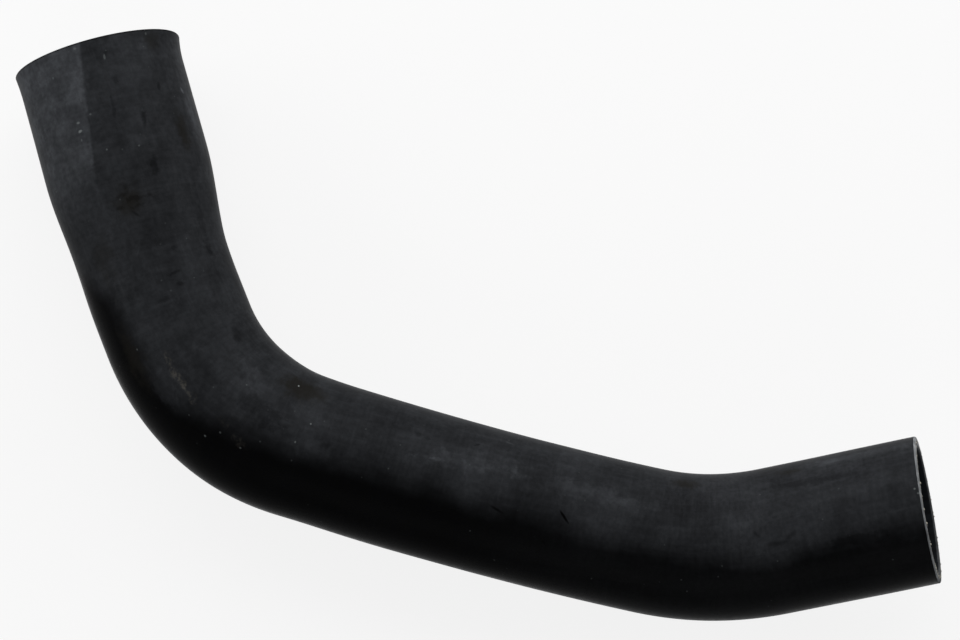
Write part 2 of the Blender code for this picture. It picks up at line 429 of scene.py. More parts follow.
@dataclass
class Bench:
    """Where straight pieces are bent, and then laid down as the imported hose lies."""

    line: CentreLine
    section: Section
    lay: Matrix | None = None

    def radius(self, along: float) -> float:
        """Radius of the outer skin at a place along the hose."""
        return self.section.radius(along, self.line)

    def own_axes(self) -> tuple[Vector, Vector]:
        """Directions that the two cut faces look in, in the hose's own frame.

        Returns:
            The cuff's direction and the outlet's.
        """
        way = self.line.end_direction()
        left = Vector((0.0, 0.0, 1.0)).cross(way).normalized()
        skew, rake = self.section.outlet_slopes()
        return -self.line.direction(self.line.cuff_heading, 0.0), way - skew * left + rake * way.cross(left)

    def resting_turn(self) -> Matrix:
        """Turn from the hose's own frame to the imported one, read from the record's two end faces.

        Returns:
            The turn, as a 4 by 4 matrix.
        """
        faces = {mount["name"]: Vector(mount["axis"]) for mount in frame["record"]["mounts"]}
        packed = square_frame(faces[End.CUFF.value], faces[End.OUTLET.value])
        return (packed @ square_frame(*self.own_axes()).transposed()).to_4x4()

    def bend(self, piece: Piece) -> None:
        """Bends a straight piece along the centre line.

        Args:
            piece: the straight piece.
        """
        guide = self.line.guide()
        apply_modifier(piece, "CURVE", object=guide, deform_axis="POS_Z")
        bpy.data.objects.remove(guide, do_unlink=True)

    def lay_down(self, piece: Piece) -> None:
        """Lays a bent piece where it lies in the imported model, the first piece by its box.

        Args:
            piece: the bent object. The first one is the whole wall, and sets the place of the rest.
        """
        if self.lay is None:
            turn = self.resting_turn()
            corners = numpy.array([turn @ corner.co for corner in piece.data.vertices])
            low, high = corners.min(axis=0), corners.max(axis=0)
            packed_low, packed_high = CAD_BOX
            shift = (Vector(packed_low) + Vector(packed_high) - Vector(low) - Vector(high)) / 2
            shift.z = packed_low[2] - low[2]
            self.lay = Matrix.Translation(shift) @ turn
        piece.data.transform(self.lay)

    def finish(self, piece: Piece) -> None:
        """Bends a dressed straight piece, lays it down, shades it smooth and gives it its body.

        Args:
            piece: the straight piece, with its materials.
        """
        tell_places(piece)
        self.bend(piece)
        self.lay_down(piece)
        take(piece)
        bpy.ops.object.shade_smooth_by_angle(angle=math.radians(SMOOTH_BELOW))
        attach(piece, BODY)


def square_frame(first: Vector, second: Vector) -> Matrix:
    """Right-angled frame of two directions.

    Args:
        first: becomes the frame's first axis.
        second: lies in the plane of the frame's first and third axes.

    Returns:
        The axes as the columns of a 3 by 3 matrix.
    """
    one = first.normalized()
    two = one.cross(second).normalized()
    return Matrix((one, two, one.cross(two))).transposed()


class Sheet:
    """A node tree, with short calls that add a node, set it and link it."""

    def __init__(self, tree: Tree) -> None:
        """Takes the tree that the nodes go into."""
        self.tree = tree

    def feed(self, value: Value, socket: Socket) -> None:
        """Links an output to an input, or sets the input to a plain value.

        Args:
            value: an output or a plain value.
            socket: the input that it goes into.
        """
        if isinstance(value, Socket):
            self.tree.links.new(value, socket)
        else:
            socket.default_value = value

    def node(self, kind: str, inputs: dict | None = None, **settings: object) -> bpy.types.Node:
        """Adds a node.

        Args:
            kind: the node's type.
            inputs: sockets or plain values, by the name or number of the input.
            settings: the node's properties by name.

        Returns:
            The new node.
        """
        node = self.tree.nodes.new(kind)
        for name, value in settings.items():
            setattr(node, name, value)
        for key, value in (inputs or {}).items():
            self.feed(value, node.inputs[key])
        return node

    def math(self, operation: str, first: Value, second: Value = 0.0) -> Socket:
        """One sum of two numbers."""
        return self.node("ShaderNodeMath", {0: first, 1: second}, operation=operation).outputs[0]

    def vector(self, operation: str, first: Value, second: Value = (0, 0, 0)) -> Socket:
        """One sum of two vectors."""
        node = self.node("ShaderNodeVectorMath", {0: first, 1: second}, operation=operation)
        return node.outputs["Value" if operation == "LENGTH" else "Vector"]

    def plus(self, *values: Value) -> Value:
        """Sum of two or more values.

        Args:
            values: outputs or plain numbers.

        Returns:
            The sum.
        """
        result = values[0]
        for value in values[1:]:
            result = self.math("ADD", result, value)
        return result

    def minus(self, first: Value, second: Value) -> Socket:
        """First value less the second."""
        return self.math("SUBTRACT", first, second)

    def times(self, first: Value, second: Value) -> Socket:
        """Product of two values."""
        return self.math("MULTIPLY", first, second)

    def scaled(self, value: Value, share: float, more: float) -> Socket:
        """Value times a number, and another number added."""
        return self.node("ShaderNodeMath", {0: value, 1: share, 2: more}, operation="MULTIPLY_ADD").outputs[0]

    def parts(self, place: Value) -> bpy.types.bpy_prop_collection:
        """A vector's X, Y and Z."""
        return self.node("ShaderNodeSeparateXYZ", {0: place}).outputs

    def emboss(self, height: Value, shader: bpy.types.Node) -> None:
        """Raises a height in metres on a shader's surface."""
        bump = self.node("ShaderNodeBump", {"Height": height, "Distance": 1.0, "Strength": 1.0})
        self.feed(bump.outputs[0], shader.inputs["Normal"])

    def spread(
        self, value: Value, low: Value, high: Value, to_low: Value = 0.0, to_high: Value = 1.0
    ) -> Socket:
        """Smooth ramp of a value.

        Args:
            value: what is ramped.
            low: where the ramp starts.
            high: where it ends.
            to_low: what it gives at its start and before.
            to_high: what it gives at its end and after.

        Returns:
            The ramped value.
        """
        ends = {"Value": value, "From Min": low, "From Max": high, "To Min": to_low, "To Max": to_high}
        return self.node("ShaderNodeMapRange", ends, interpolation_type="SMOOTHSTEP").outputs[0]

    def mix(self, share: Value, first: Value, second: Value) -> Socket:
        """Mix of two colours.

        Args:
            share: how much of the second colour there is.
            first: the first colour.
            second: the second.

        Returns:
            The mixed colour.
        """
        node = self.node("ShaderNodeMix", {"Factor": share}, data_type="RGBA")
        self.feed(first, node.inputs[6])
        self.feed(second, node.inputs[7])
        return node.outputs[2]

    def noise(self, place: Value, scale: Value, detail: float = 3.0, roughness: float = 0.5) -> Socket:
        """Cloudy noise from 0 to 1 about a middle of one half."""
        inputs = {"Vector": place, "Scale": scale, "Detail": detail, "Roughness": roughness}
        return self.node("ShaderNodeTexNoise", inputs).outputs["Fac"]

    def attribute(self, name: str, output: str = "Vector") -> Socket:
        """A value that the mesh carries."""
        return self.node("ShaderNodeAttribute", attribute_name=name).outputs[output]

    def reach(self, sleeve: Value) -> Socket:
        """How far out from the straight sleeve's axis a place lies."""
        return self.vector("LENGTH", self.vector("MULTIPLY", sleeve, (1.0, 1.0, 0.0)))

    def angle(self, sleeve: Value) -> Socket:
        """Angle round the sleeve from the inside of the bends, with the top at 90 degrees."""
        parts = self.parts(sleeve)
        return self.math("DEGREES", self.math("ARCTAN2", parts["Y"], parts["X"]))

    def call(self, group: Tree, **inputs: Value) -> Socket:
        """Places a node group and gives its output.

        Args:
            group: the node group.
            inputs: outputs or plain values, by the group's own names.

        Returns:
            The group's output.
        """
        node = self.node("ShaderNodeGroup", node_tree=group)
        for key, value in inputs.items():
            self.feed(value, node.inputs[key])
        return node.outputs[0]


class Effects:
    """The effects that several finishes share, each a node group that is made once."""

    def __init__(self) -> None:
        """Makes every group."""
        self.place = self._place()
        self.oval = self._oval()
        self.cloud = self._cloud()
        self.streaks = self._streaks()
        self.flecks = self._flecks()
        self.tape = self._tape()
        self.weave = self._weave()

    def _open(self, name: str, inputs: dict, output: str) -> tuple[Sheet, dict, Callable]:
        """Starts a group.

        Args:
            name: the group's name.
            inputs: the default of each input by its name, a number or a vector.
            output: the output's socket type, Float or Vector.

        Returns:
            The group's sheet, its inputs by name, and a call that closes it with its result.
        """
        tree = bpy.data.node_groups.new(name, "ShaderNodeTree")
        for key, default in inputs.items():
            kind = "NodeSocketVector" if isinstance(default, tuple) else "NodeSocketFloat"
            tree.interface.new_socket(key, in_out="INPUT", socket_type=kind).default_value = default
        tree.interface.new_socket("Result", in_out="OUTPUT", socket_type="NodeSocket" + output)
        given = tree.nodes.new("NodeGroupInput")
        result = tree.nodes.new("NodeGroupOutput")

        def close(value: Socket) -> Tree:
            """Links the result and gives the finished group."""
            tree.links.new(value, result.inputs[0])
            return tree

        return Sheet(tree), {key: given.outputs[key] for key in inputs}, close

    def _place(self) -> Tree:
        """Place on the sleeve's skin: how far along, how far round from the inside of the bends, and 0.

        Returns:
            The finished group.
        """
        sheet, given, close = self._open("place_on_skin", {"Sleeve": ORIGIN}, "Vector")
        parts = sheet.parts(given["Sleeve"])
        angle = sheet.math("ARCTAN2", parts["Y"], parts["X"])
        around = sheet.times(angle, sheet.reach(given["Sleeve"]))
        return close(sheet.node("ShaderNodeCombineXYZ", {"X": parts["Z"], "Y": around}).outputs[0])

    def _oval(self) -> Tree:
        """Mask of one soft-edged oval patch, from how near its middle is: 1 there, 0 at twice its size.

        Returns:
            The finished group.
        """
        inputs = {"Nearness": 0.0, "Fray": 0.0, "Softness": 0.8, "Raggedness": 0.4, "Strength": 1.0}
        sheet, given, close = self._open("oval_mark", inputs, "Float")
        fray = sheet.times(sheet.times(given["Fray"], given["Raggedness"]), 0.5)
        near = sheet.minus(given["Nearness"], fray)
        inner = sheet.plus(sheet.times(given["Softness"], 0.5), 0.5)
        return close(sheet.spread(near, 0.5, inner, 0.0, given["Strength"]))

    def _cloud(self) -> Tree:
        """Mask of soft cloudy patches.

        Returns:
            The finished group.
        """
        inputs = {"Sleeve": ORIGIN, "Scale": 30.0, "Low": 0.4, "High": 0.7}
        sheet, given, close = self._open("cloudy_patches", inputs, "Float")
        noise = sheet.noise(given["Sleeve"], given["Scale"], detail=5.0, roughness=0.55)
        return close(sheet.spread(noise, given["Low"], given["High"]))

    def _streaks(self) -> Tree:
        """Mask of fine streaks that run round or along the sleeve, at a lean.

        Returns:
            The finished group.
        """
        inputs = {"Sleeve": ORIGIN, "Round": 100.0, "Along": 20.0, "Lean": 0.0, "Low": 0.4, "High": 0.7}
        sheet, given, close = self._open("fine_streaks", inputs, "Float")
        parts = sheet.parts(given["Sleeve"])
        twist = sheet.times(parts["Z"], given["Lean"])
        lean = {"Vector": given["Sleeve"], "Angle": twist}
        turned = sheet.node("ShaderNodeVectorRotate", lean, rotation_type="Z_AXIS")
        scales = {"X": given["Round"], "Y": given["Round"], "Z": given["Along"]}
        scale = sheet.node("ShaderNodeCombineXYZ", scales)
        place = sheet.vector("MULTIPLY", turned.outputs[0], scale.outputs[0])
        noise = sheet.noise(place, 1.0, detail=4.0, roughness=0.6)
        return close(sheet.spread(noise, given["Low"], given["High"]))

    def _flecks(self) -> Tree:
        """Mask of scattered pinhead flecks.

        Returns:
            The finished group.
        """
        inputs = {"Sleeve": ORIGIN, "Scale": 300.0, "Size": 0.2, "Share": 0.1}
        sheet, given, close = self._open("pinhead_flecks", inputs, "Float")
        cells = sheet.node("ShaderNodeTexVoronoi", {"Vector": given["Sleeve"], "Scale": given["Scale"]})
        chosen = sheet.node("ShaderNodeSeparateColor", {0: cells.outputs["Color"]}).outputs[0]
        kept = sheet.math("LESS_THAN", chosen, given["Share"])
        dot = sheet.spread(cells.outputs["Distance"], 0.0, given["Size"], 1.0, 0.0)
        return close(sheet.times(kept, dot))

    def _tape(self) -> Tree:
        """Height of the fine ridges that the curing tape leaves round the sleeve.

        Returns:
            The finished group.
        """
        inputs = {"Sleeve": ORIGIN, "Pitch": 0.002, "Wander": 0.3}
        sheet, given, close = self._open("tape_ridges", inputs, "Float")
        parts = sheet.parts(given["Sleeve"])
        wander = sheet.minus(sheet.noise(given["Sleeve"], 60.0, detail=2.0), 0.5)
        turns = sheet.math("DIVIDE", parts["Z"], given["Pitch"])
        turns = sheet.plus(turns, sheet.times(wander, given["Wander"]))
        return close(sheet.math("SINE", sheet.times(turns, math.tau)))

    def _weave(self) -> Tree:
        """Height of a fabric's print, threads along crossing threads round.

        Returns:
            The finished group.
        """
        inputs = {"Sleeve": ORIGIN, "Place": ORIGIN, "Pitch": 0.0016}
        sheet, given, close = self._open("fabric_print", inputs, "Float")
        parts = sheet.parts(given["Place"])
        wander = sheet.minus(sheet.noise(given["Sleeve"], 45.0, detail=3.0), 0.5)
        waves = []
        for way in ("X", "Y"):
            threads = sheet.plus(sheet.math("DIVIDE", parts[way], given["Pitch"]), wander)
            waves.append(sheet.math("SINE", sheet.times(threads, math.tau)))
        return close(sheet.times(sheet.plus(*waves), 0.5))


def new_material(name: str, roughness: float, specular: float) -> tuple[Material, Sheet, bpy.types.Node]:
    """Starts a material.

    Args:
        name: the material's name.
        roughness: the shader's own roughness.
        specular: how strong its sheen is, where a half is plain.

    Returns:
        The material, the sheet of its nodes, and its Principled shader.
    """
    material = bpy.data.materials.new(name)
    material.use_nodes = True
    shader = material.node_tree.nodes["Principled BSDF"]
    shader.inputs["Roughness"].default_value = roughness
    shader.inputs["Specular IOR Level"].default_value = specular
    return material, Sheet(material.node_tree), shader


@dataclass(frozen=True)
class SkinMaps:
    """What the skin's layers are drawn from, each an output on one sheet of nodes."""

    sheet: Sheet
    # Place on the straight sleeve, and how far along and how far round the skin that is
    sleeve: Value
    place: Value
    along: Value
    angle: Value
    # Slow noise, fine noise, and the noise about 0 that frays the outlines of marks
    broad: Value
    grain: Value
    fray: Value
    # Streaks where the skin was wiped round, and the curing tape's ridges
    wiped: Value
    tape: Value


@dataclass(frozen=True)
class RubberSkin:
    """The outer skin: near-black rubber under a thin pale bloom, printed by tape and fabric, and handled."""

    effects: Effects
    bench: Bench
    # black is the bare rubber, which the outer side keeps as painted shade; the bloom zone, set by the middle
    # and reach below, is painted lighter as the lit side, partly real bloom
    black: Colour = (0.0015, 0.0015, 0.0016, 1.0)
    bloom: Colour = (0.0800, 0.0850, 0.0940, 1.0)
    brown: Colour = (0.0125, 0.0115, 0.0095, 1.0)
    tan: Colour = (0.104, 0.097, 0.083, 1.0)
    white: Colour = (0.42, 0.46, 0.46, 1.0)
    roughness: float = 0.36
    dull_roughness: float = 0.28
    specular: float = 0.007
    bloom_and_light_middle: float = 30.0
    bloom_and_light_reach: float = 62.0
    tape_pitch: float = 0.0021
    tape_heights: tuple[float, float] = (0.000006, 0.000003)
    weave_heights: tuple[float, float] = (0.000003, 0.000008)
    grain_height: float = 0.000050
    nick_depth: float = 0.000150

    def material(self) -> Material:
        """Mixes the skin's layers into one material.

        Returns:
            The finished material.
        """
        material, sheet, shader = new_material("rubber_skin", self.roughness, self.specular)
        maps = self._maps(sheet)
        sleeve, along, grain = maps.sleeve, maps.along, maps.grain
        stains = {stain: self._stain(maps, stain) for stain in Stain}
        # The bloom zone paints the lit top and inside of the bends lighter and leaves the outer side dark:
        # painted light and shade over a real pale bloom
        zone, film = self._bloom_and_light_zone(maps)
        # The marks of bloom, with the cuff's outer side painted lighter as a highlight
        bloom_marks_and_highlight = sheet.plus(stains[Stain.BLOOM], self._cuff_side_highlight(maps))
        ladder = sheet.times(maps.tape, sheet.plus(stains[Stain.RIDGED], 0.003))
        amount = sheet.plus(self._bloom_and_light_amount(maps, zone, film, bloom_marks_and_highlight), sheet.times(ladder, zone))
        amount = sheet.times(amount, sheet.spread(grain, 0.28, 0.72, 0.84, 1.16))
        colour = sheet.mix(amount, self.black, self.bloom)
        colour = sheet.mix(stains[Stain.BROWN], colour, self.brown)
        # The last millimetre at the cuff's mouth is darkened: painted shade along the mouth's edge, added to
        # the smudges and nicks
        mouth_edge_shade = sheet.spread(along, 0.0013, 0.0004, 0.0, 0.6)
        darkened = sheet.plus(stains[Stain.SMUDGE], stains[Stain.NICK], mouth_edge_shade)
        colour = sheet.mix(darkened, colour, self.black)
        speckle = sheet.spread(sheet.noise(sleeve, 700.0, detail=2.0), 0.36, 0.66)
        colour = sheet.mix(sheet.times(stains[Stain.SCUFF], speckle), colour, self.tan)
        dust = sheet.call(self.effects.flecks, Sleeve=sleeve, Scale=420.0, Size=0.26, Share=0.03)
        specks = sheet.math("MAXIMUM", stains[Stain.FLECK], sheet.times(dust, 0.08))
        sheet.feed(sheet.mix(specks, colour, self.white), shader.inputs["Base Color"])
        sheet.feed(self._roughness(maps, zone, stains[Stain.SCUFF]), shader.inputs["Roughness"])
        sheet.emboss(self._relief(maps, stains[Stain.NICK]), shader)
        return material

    def _maps(self, sheet: Sheet) -> SkinMaps:
        """Draws the places, noises and prints that the skin's layers share.

        Args:
            sheet: the material's nodes.

        Returns:
            The maps.
        """
        sleeve = sheet.attribute(PLACE_ATTRIBUTE)
        place = sheet.call(self.effects.place, Sleeve=sleeve)
        return SkinMaps(
            sheet=sheet,
            sleeve=sleeve,
            place=place,
            along=sheet.parts(place)["X"],
            angle=sheet.angle(sleeve),
            broad=sheet.noise(sleeve, 26.0, detail=4.0, roughness=0.6),
            grain=sheet.noise(sleeve, 420.0, detail=3.0, roughness=0.6),
            fray=sheet.scaled(sheet.noise(sleeve, 240.0, detail=4.0, roughness=0.6), 4.0, -2.0),
            wiped=sheet.call(self.effects.streaks, Sleeve=sleeve, Round=55, Along=520, Low=0.38, High=0.68),
            tape=sheet.call(self.effects.tape, Sleeve=sleeve, Pitch=self.tape_pitch, Wander=0.9),
        )

    def _cuff_side_highlight(self, maps: SkinMaps) -> Value:
        """Painted highlight on the cuff's outer side, a paler bloom tone that ends in a sharp line, and a
        little more bloom over the whole cuff.

        Args:
            maps: the skin's shared maps.

        Returns:
            How much bloom tone it adds, mostly painted highlight.
        """
        sheet = maps.sheet
        # Where the line lies: at 95 degrees at the mouth, and 2.3 degrees further out each centimetre
        line = sheet.scaled(maps.along, 230.0, 95.0)
        past = sheet.plus(sheet.minus(maps.angle, line), maps.fray)
        side = sheet.times(sheet.spread(past, -1.2, 1.4), sheet.spread(maps.angle, 172.0, 150.0))
        side = sheet.times(side, sheet.spread(maps.along, 0.045, 0.082, 0.27, 0.0))
        return sheet.plus(side, sheet.spread(maps.along, 0.045, 0.075, 0.03, 0.0))

    def _roughness(self, maps: SkinMaps, zone: Value, scuffed: Value) -> Value:
        """How rough the skin is at each place.

        Args:
            maps: the skin's shared maps.
            zone: mask of the zone where most of the bloom and the painted light lie.
            scuffed: mask of the scuffs.

        Returns:
            The roughness.
        """
        sheet = maps.sheet
        return sheet.plus(
            sheet.spread(zone, 0.0, 1.0, self.dull_roughness, self.roughness),
            sheet.times(sheet.minus(maps.broad, 0.5), 0.25),
            sheet.times(maps.wiped, 0.05),
            sheet.times(scuffed, 0.2),
        )

    def _stain(self, maps: SkinMaps, stain: Stain) -> Value:
        """Mask of all the marks of one kind.

        Args:
            maps: the skin's shared maps.
            stain: the kind.

        Returns:
            The mask.
        """
        sheet = maps.sheet
        covered: Value = 0.0
        for mark in (Mark(*row) for row in HANDLING_MARKS[stain]):
            along = mark.along * MILLIMETRE
            around = math.radians(mark.angle) * self.bench.radius(along)
            nearness = sheet.node("ShaderNodeTexGradient", {"Vector": maps.place}, gradient_type="SPHERICAL")
            nearness.texture_mapping.vector_type = "TEXTURE"
            nearness.texture_mapping.translation = (along, around, 0.0)
            nearness.texture_mapping.rotation = (0.0, 0.0, math.radians(mark.turn))
            nearness.texture_mapping.scale = (mark.length * MILLIMETRE, mark.width * MILLIMETRE, 1.0)
            oval = sheet.call(
                self.effects.oval,
                Nearness=nearness.outputs["Fac"],
                Fray=maps.fray,
                Softness=mark.softness,
                Raggedness=mark.raggedness,
                Strength=mark.strength,
            )
            # Each joins the sum as it is made, which keeps the shader light
            covered = sheet.plus(covered, oval)
        return covered

    def _bloom_and_light_zone(self, maps: SkinMaps) -> tuple[Value, Value]:
        """Where the bloom lies, and where light and shade are painted: lighter round the lit top and inside
        of the bends, left dark on the outer side.

        Args:
            maps: the skin's shared maps.

        Returns:
            The mask of the zone round the inside and top of the bends, partly bloom and partly painted light,
            which on the cuff's leg goes nearly all round, and the thin film outside it, where the outer side
            is left as painted shade, thicker along the run and on the underside.
        """
        sheet = maps.sheet
        off = sheet.minus(maps.angle, self.bloom_and_light_middle)
        # Brought back to half a turn either way
        off = sheet.node("ShaderNodeMath", {0: off, 1: 180.0, 2: -180.0}, operation="WRAP").outputs[0]
        off = sheet.math("ABSOLUTE", off)
        # Degrees round from the middle: wider before the run, nearly all round on the cuff's leg, a little
        # wider on the end leg, and wandering everywhere
        reach = sheet.plus(
            sheet.spread(maps.along, 0.225, 0.130, self.bloom_and_light_reach, self.bloom_and_light_reach + 28.0),
            sheet.spread(maps.along, 0.120, 0.088, 0.0, 60.0),
            sheet.spread(maps.along, 0.300, 0.460, 0.0, 9.0),
            sheet.times(sheet.minus(maps.broad, 0.5), 26.0),
        )
        along_run = sheet.spread(maps.along, 0.290, 0.370, 0.04, 0.16)
        film = sheet.plus(along_run, sheet.spread(off, 128.0, 160.0, 0.0, 0.75))
        return sheet.spread(sheet.minus(off, reach), 21.0, -17.0), film

    def _bloom_and_light_amount(self, maps: SkinMaps, zone: Value, film: Value, bloom_marks_and_highlight: Value) -> Value:
        """How thick the bloom lies, with the painted light of the lit side.

        Args:
            maps: the skin's shared maps.
            zone: mask of the zone where most of the bloom and the painted light lie.
            film: the thin film outside the zone.
            bloom_marks_and_highlight: the mask of the marks of bloom and of the cuff's painted highlight.

        Returns:
            The share of the bloom colour, partly bloom and partly painted light.
        """
        sheet = maps.sheet
        fine = sheet.call(self.effects.cloud, Sleeve=maps.sleeve, Scale=95.0, Low=0.34, High=0.68)
        drawn = sheet.call(
            self.effects.streaks, Sleeve=maps.sleeve, Round=420.0, Along=22.0, Lean=2.0, Low=0.42, High=0.72
        )
        # Broad clouds, fine clouds, wiped streaks and drawn lines, less what the rubber keeps bare
        amount = sheet.plus(
            sheet.spread(maps.broad, 0.30, 0.70, 0.18, 0.31),
            sheet.times(fine, 0.06),
            sheet.times(maps.wiped, 0.035),
            sheet.times(drawn, 0.045),
            -0.035,
        )
        amount = sheet.times(amount, sheet.math("MAXIMUM", zone, film))
        return sheet.plus(amount, sheet.times(bloom_marks_and_highlight, sheet.spread(fine, 0.0, 1.0, 0.75, 1.25)))

    def _relief(self, maps: SkinMaps, nicked: Value) -> Value:
        """Height in metres of the skin's fine relief.

        Args:
            maps: the skin's shared maps.
            nicked: mask of the nicks.

        Returns:
            The height.
        """
        sheet = maps.sheet
        weave = sheet.call(self.effects.weave, Sleeve=maps.sleeve, Place=maps.place)
        return sheet.plus(
            sheet.times(maps.tape, sheet.spread(maps.along, 0.080, 0.200, *self.tape_heights)),
            sheet.times(weave, sheet.spread(maps.along, 0.300, 0.400, *self.weave_heights)),
            sheet.times(maps.grain, self.grain_height),
            sheet.times(nicked, -self.nick_depth),
        )


@dataclass(frozen=True)
class BoreLiner:
    """The liner inside the hose, smooth but for the lines that the mandrel drew along it."""

    effects: Effects
    black: Colour = (0.0060, 0.0060, 0.0068, 1.0)
    dusty: Colour = (0.019, 0.022, 0.026, 1.0)
    roughness: float = 0.45
    dusty_roughness: float = 0.60
    specular: float = 0.02
    line_height: float = 0.000030

    def material(self) -> Material:
        """Mixes the liner's layers into one material.

        Returns:
            The finished material.
        """
        material, sheet, shader = new_material("bore_liner", self.roughness, self.specular)
        sleeve = sheet.attribute(PLACE_ATTRIBUTE)
        cloud = sheet.call(self.effects.cloud, Sleeve=sleeve, Scale=34.0, Low=0.35, High=0.7)
        drawn = sheet.call(self.effects.streaks, Sleeve=sleeve, Round=600.0, Along=9.0, Low=0.4, High=0.75)
        dust = sheet.call(self.effects.flecks, Sleeve=sleeve, Scale=330.0, Size=0.25, Share=0.03)
        share = sheet.plus(sheet.times(cloud, 0.6), sheet.times(drawn, 0.4), dust)
        sheet.feed(sheet.mix(share, self.black, self.dusty), shader.inputs["Base Color"])
        roughness = sheet.spread(cloud, 0.0, 1.0, self.roughness, self.dusty_roughness)
        sheet.feed(roughness, shader.inputs["Roughness"])
        sheet.emboss(sheet.times(drawn, self.line_height), shader)
        return material


@dataclass(frozen=True)
class CutRubber:
    """The cut face of the wall, torn and greyed by the blade."""

    effects: Effects
    dark: Colour = (0.070, 0.074, 0.080, 1.0)
    pale: Colour = (0.270, 0.280, 0.290, 1.0)
    ply: Colour = (0.420, 0.410, 0.360, 1.0)
    # Dark tone of the painted shade on the faces' underside and of the outlet's liner
    shade_and_liner_black: Colour = (0.018, 0.019, 0.020, 1.0)
    roughness: float = 0.85
    specular: float = 0.03
    tear_height: float = 0.000090
    outlet_radius: float = 0.03375
    ply_depth: float = 0.0024
    ply_width: float = 0.0016
    liner_depth: float = 0.0031
    liner_blend: float = 0.0011
    liner_share: float = 0.62
    underside_shade_share: float = 0.70

    def material(self) -> Material:
        """Mixes the face's layers into one material.

        Returns:
            The finished material.
        """
        material, sheet, shader = new_material("cut_rubber", self.roughness, self.specular)
        sleeve = sheet.attribute(PLACE_ATTRIBUTE)
        torn = sheet.call(self.effects.cloud, Sleeve=sleeve, Scale=330.0, Low=0.3, High=0.7)
        blotch = sheet.call(self.effects.cloud, Sleeve=sleeve, Scale=60.0, Low=0.35, High=0.65)
        share = sheet.plus(sheet.times(torn, 0.55), sheet.times(blotch, 0.4), 0.05)
        colour = sheet.mix(share, self.dark, self.pale)
        reach = sheet.reach(sleeve)
        frayed = sheet.times(self._ply_band(sheet, reach), sheet.spread(torn, 0.2, 0.9, 0.1, 0.6))
        colour = sheet.mix(frayed, colour, self.ply)
        # The faces' underside and outer side are darkened as painted shade; the liner's band is darker rubber
        shade_and_liner = self._underside_shade_and_liner(sheet, sheet.angle(sleeve), reach)
        sheet.feed(sheet.mix(shade_and_liner, colour, self.shade_and_liner_black), shader.inputs["Base Color"])
        sheet.emboss(sheet.times(torn, self.tear_height), shader)
        return material

    def _underside_shade_and_liner(self, sheet: Sheet, angle: Value, reach: Value) -> Value:
        """Mask of the painted shade on the face's underside and outer side, and of the outlet's darker liner.

        Args:
            sheet: the material's nodes.
            angle: angle round from the inside of the bends.
            reach: distance from the sleeve's axis.

        Returns:
            The mask.
        """
        # Painted shade below and past 150 degrees round
        below = sheet.spread(angle, -20.0, -75.0, 0.0, self.underside_shade_share)
        beyond = sheet.spread(angle, 150.0, 172.0, 0.0, self.underside_shade_share)
        liner_end = self.outlet_radius - self.liner_depth
        liner = sheet.spread(reach, liner_end, liner_end - self.liner_blend, 0.0, self.liner_share)
        return sheet.math("MAXIMUM", liner, sheet.plus(below, beyond))

    def _ply_band(self, sheet: Sheet, reach: Value) -> Value:
        """Mask of the band in the outlet's face where the fabric was cut through."""
        off = sheet.math("ABSOLUTE", sheet.minus(reach, self.outlet_radius - self.ply_depth))
        return sheet.spread(off, self.ply_width, 0.0)


@dataclass(frozen=True)
class PlyThread:
    """The undyed reinforcing yarn, greyed by the rubber round it."""

    effects: Effects
    grey: Colour = (0.130, 0.128, 0.120, 1.0)
    cream: Colour = (0.60, 0.57, 0.47, 1.0)
    roughness: float = 0.9
    specular: float = 0.05

    def material(self) -> Material:
        """Tones each thread by the value that its mesh carries.

        Returns:
            The finished material.
        """
        material, sheet, shader = new_material("ply_thread", self.roughness, self.specular)
        sleeve = sheet.attribute(PLACE_ATTRIBUTE)
        dirt = sheet.call(self.effects.cloud, Sleeve=sleeve, Scale=900.0, Low=0.35, High=0.7)
        tone = sheet.attribute(TONE_ATTRIBUTE, "Fac")
        tone = sheet.times(tone, sheet.spread(dirt, 0.0, 1.0, 0.7, 1.0))
        sheet.feed(sheet.mix(tone, self.grey, self.cream), shader.inputs["Base Color"])
        return material


